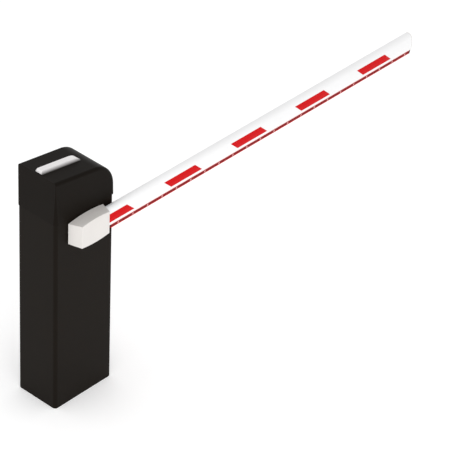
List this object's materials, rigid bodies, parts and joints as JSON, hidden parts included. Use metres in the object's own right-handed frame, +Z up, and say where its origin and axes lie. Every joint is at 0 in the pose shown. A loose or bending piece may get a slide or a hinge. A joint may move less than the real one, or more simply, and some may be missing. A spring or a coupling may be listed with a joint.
{
  "type": "parking barrier gate",
  "caption": "Parking barrier gate: a dark steel cabinet with a hinged service door and a hood, and a white boom with red markings that swings up by a right angle.",
  "frame": {"origin": "centre of the four anchor holes, on the underside of the base plate", "axes": "+X along the closed boom towards its tip, +Z up, and the boom runs past the cabinet on its -Y side"},
  "size_m": [2.0048, 0.2752, 1.0819],
  "materials": {
    "dark_powder_coat": "fine satin texture",
    "galvanised_steel": "dull zinc",
    "zinc_fasteners": "bright zinc",
    "ground_steel": "ground and oiled",
    "spring_steel": "dark oiled wire",
    "cast_iron": "as cast, painted",
    "cast_aluminium": "as cast",
    "bronze": "machined",
    "brass": "machined",
    "chrome": "polished",
    "black_rubber": "matt",
    "grey_plastic": "moulded",
    "green_plastic": "moulded",
    "red_plastic": "moulded",
    "circuit_board": "lacquered",
    "white_plastic": "moulded, satin",
    "white_painted_aluminium": "smooth gloss",
    "red_film": "reflective film",
    "red_strip": "translucent profile",
    "pale_light": "diffuse window",
    "frosted_lens": "frosted"
  },
  "bodies": {
    "frame": {"base_plate": "galvanised_steel", "conduit_grommet": "black_rubber", "cabinet_shell": "dark_powder_coat", "front_plate": "galvanised_steel", "rear_plate": "galvanised_steel", "frame_spacers": "galvanised_steel", "frame_fasteners": "zinc_fasteners", "shaft_bearings": "cast_iron", "shelf": "galvanised_steel", "gearbox_housing": "cast_aluminium", "gearbox_cover": "cast_aluminium", "gearbox_screws": "zinc_fasteners", "motor_body": "cast_aluminium", "stator": "ground_steel", "guide_rods": "ground_steel", "tension_bolt": "zinc_fasteners", "stop_buffers": "black_rubber", "position_sensors": "brass", "control_box": "grey_plastic", "control_board": "circuit_board", "motor_capacitor": "grey_plastic", "hinge_pins": "zinc_fasteners", "hood": "dark_powder_coat", "hood_seal": "black_rubber", "hood_screws": "zinc_fasteners", "light_lens": "frosted_lens", "light_board": "circuit_board"},
    "boom_arm": {"main_shaft": "ground_steel", "drive_lever": "ground_steel", "balance_lever": "ground_steel", "stop_arm": "ground_steel", "arm_bracket": "galvanised_steel", "bracket_screws": "zinc_fasteners", "clamp_strip": "galvanised_steel", "clamp_bolts": "zinc_fasteners", "arm_cover": "white_plastic", "cover_screws": "zinc_fasteners", "boom_profile": "white_painted_aluminium", "boom_end_cap": "white_plastic", "boom_stickers": "red_film", "edge_strip": "red_strip", "strip_lights": "pale_light", "strip_end": "black_rubber"},
    "crank_set": {"crank": "ground_steel", "output_shaft": "ground_steel", "worm_wheel": "bronze"},
    "push_rod": {"connecting_rod": "ground_steel"},
    "worm_set": {"worm_shaft": "ground_steel", "rotor": "ground_steel"},
    "yoke_set": {"spring_yoke": "ground_steel", "spring_rod": "ground_steel", "balance_spring": "spring_steel"},
    "release_set": {"release_lever": "red_plastic"},
    "raise_key": {"raise_button": "green_plastic"},
    "stop_key": {"stop_button": "red_plastic"},
    "lower_key": {"lower_button": "grey_plastic"},
    "door_set": {"door": "dark_powder_coat", "lock_body": "chrome"},
    "lock_set": {"lock_plug": "brass", "lock_cam": "zinc_fasteners"}
  },
  "joints": [
    {"name": "boom_swing", "type": "hinge", "parent": "frame", "child": "boom_arm", "pos_m": [0, 0, 0.817], "axis": [0, -1, 0], "range_deg": [0, 90]},
    {"name": "crank_turn", "type": "hinge", "parent": "frame", "child": "crank_set", "pos_m": [0, 0, 0.6], "axis": [0, -1, 0], "range_deg": [0, 90]},
    {"name": "rod_swing", "type": "hinge", "parent": "crank_set", "child": "push_rod", "pos_m": [-0.04243, -0.0506, 0.64243], "axis": [0, -1, 0], "range_deg": [-90, 0]},
    {"name": "worm_turn", "type": "hinge", "parent": "frame", "child": "worm_set", "pos_m": [0.05, -0.003, 0.6], "axis": [0, 0, -1], "range_deg": [0, 3600]},
    {"name": "yoke_slide", "type": "slide", "parent": "frame", "child": "yoke_set", "axis": [0, 0, -1], "range_m": [0, 0.051], "deforming": ["balance_spring"]},
    {"name": "release_turn", "type": "hinge", "parent": "frame", "child": "release_set", "pos_m": [0.03, 0.04, 0.652], "axis": [0, -1, 0], "range_deg": [0, 90]},
    {"name": "raise_press", "type": "slide", "parent": "frame", "child": "raise_key", "axis": [0, 0, -1], "range_m": [0, 0.002], "stiffness_N_per_m": 400, "springref_m": -0.001},
    {"name": "stop_press", "type": "slide", "parent": "frame", "child": "stop_key", "axis": [0, 0, -1], "range_m": [0, 0.002], "stiffness_N_per_m": 400, "springref_m": -0.001},
    {"name": "lower_press", "type": "slide", "parent": "frame", "child": "lower_key", "axis": [0, 0, -1], "range_m": [0, 0.002], "stiffness_N_per_m": 400, "springref_m": -0.001},
    {"name": "door_swing", "type": "hinge", "parent": "frame", "child": "door_set", "pos_m": [-0.121, 0.1072, 0.44], "axis": [0, 0, 1], "range_deg": [0, 110]},
    {"name": "lock_turn", "type": "hinge", "parent": "door_set", "child": "lock_set", "pos_m": [0.115, 0.09, 0.44], "axis": [0, -1, 0], "range_deg": [0, 90]}
  ],
  "couplings": [
    {"joint": "crank_turn", "follows": "boom_swing", "ratio": 1},
    {"joint": "rod_swing", "follows": "boom_swing", "ratio": -1},
    {"joint": "worm_turn", "follows": "boom_swing", "ratio": 40},
    {"joint": "yoke_slide", "follows": "boom_swing", "m_per_rad": 0.032411}
  ]
}
